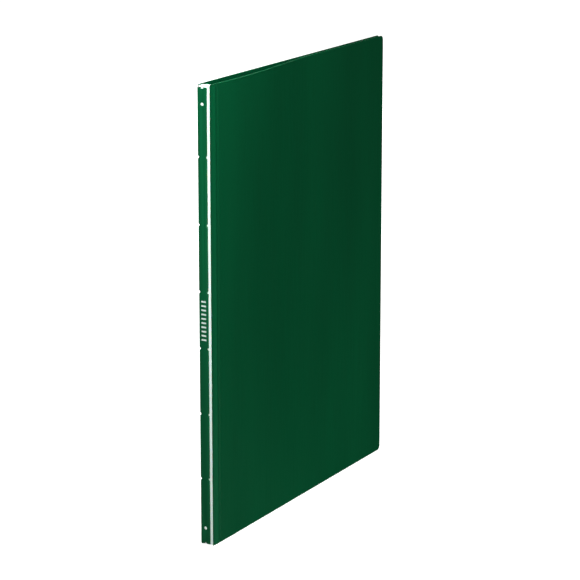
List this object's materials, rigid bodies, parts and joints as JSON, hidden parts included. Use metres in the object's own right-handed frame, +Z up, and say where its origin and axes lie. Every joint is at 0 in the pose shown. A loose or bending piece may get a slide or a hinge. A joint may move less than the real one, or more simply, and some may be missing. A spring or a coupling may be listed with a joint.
{
  "type": "stamp album",
  "caption": "Slim album with hinged plastic covers, a punched spine strip pegged to a core bar, and pocketed stock leaves that turn on guards.",
  "frame": {"origin": "middle of the album's footprint at its lower edge", "axes": "+X from the spine to the fore-edge, -Y towards the front cover's outer side, +Z up along the spine"},
  "size_m": [0.24, 0.0103, 0.309],
  "materials": {
    "green_polypropylene": "semi-gloss moulded sheet",
    "white_polypropylene": "satin",
    "white_peg": "semi-gloss",
    "black_card": "matt dyed card",
    "clear_film": "clear glossy film"
  },
  "bodies": {
    "spine": {"spine_core": "white_polypropylene", "spine_strip": "green_polypropylene", "spine_peg_lower": "white_peg", "spine_peg_upper": "white_peg", "front_flange": "green_polypropylene", "back_flange": "green_polypropylene", "leaf_1_guard": "white_polypropylene", "leaf_2_guard": "white_polypropylene", "leaf_3_guard": "white_polypropylene", "leaf_4_guard": "white_polypropylene", "leaf_5_guard": "white_polypropylene"},
    "front_cover": {"front_panel": "green_polypropylene"},
    "back_cover": {"back_panel": "green_polypropylene"},
    "leaf_1": {"leaf_1_card": "black_card", "leaf_1_pockets": "clear_film"},
    "leaf_2": {"leaf_2_card": "black_card", "leaf_2_pockets": "clear_film"},
    "leaf_3": {"leaf_3_card": "black_card", "leaf_3_pockets": "clear_film"},
    "leaf_4": {"leaf_4_card": "black_card", "leaf_4_pockets": "clear_film"},
    "leaf_5": {"leaf_5_card": "black_card", "leaf_5_pockets": "clear_film"}
  },
  "joints": [
    {"name": "front_cover_hinge", "type": "hinge", "parent": "spine", "child": "front_cover", "pos_m": [-0.1118, -0.00451, 0.1545], "axis": [0, 0, -1], "range_deg": [0, 180]},
    {"name": "back_cover_hinge", "type": "hinge", "parent": "spine", "child": "back_cover", "pos_m": [-0.1118, 0.00519, 0.1545], "axis": [0, 0, 1], "range_deg": [0, 180]},
    {"name": "leaf_1_turn", "type": "hinge", "parent": "spine", "child": "leaf_1", "pos_m": [-0.0994, 0.00226, 0.1545], "axis": [0, 0, -1], "range_deg": [0, 140]},
    {"name": "leaf_2_turn", "type": "hinge", "parent": "spine", "child": "leaf_2", "pos_m": [-0.0978, 0.00268, 0.1545], "axis": [0, 0, -1], "range_deg": [0, 117]},
    {"name": "leaf_3_turn", "type": "hinge", "parent": "spine", "child": "leaf_3", "pos_m": [-0.0962, 0.0031, 0.1545], "axis": [0, 0, -1], "range_deg": [0, 94]},
    {"name": "leaf_4_turn", "type": "hinge", "parent": "spine", "child": "leaf_4", "pos_m": [-0.0946, 0.00352, 0.1545], "axis": [0, 0, -1], "range_deg": [0, 71]},
    {"name": "leaf_5_turn", "type": "hinge", "parent": "spine", "child": "leaf_5", "pos_m": [-0.093, 0.00394, 0.1545], "axis": [0, 0, -1], "range_deg": [0, 48]}
  ],
  "couplings": [
    {"joint": "leaf_1_turn", "follows": "front_cover_hinge", "ratio": 0.77777},
    {"joint": "leaf_2_turn", "follows": "front_cover_hinge", "ratio": 0.64999},
    {"joint": "leaf_3_turn", "follows": "front_cover_hinge", "ratio": 0.52221},
    {"joint": "leaf_4_turn", "follows": "front_cover_hinge", "ratio": 0.39443},
    {"joint": "leaf_5_turn", "follows": "front_cover_hinge", "ratio": 0.26666}
  ]
}
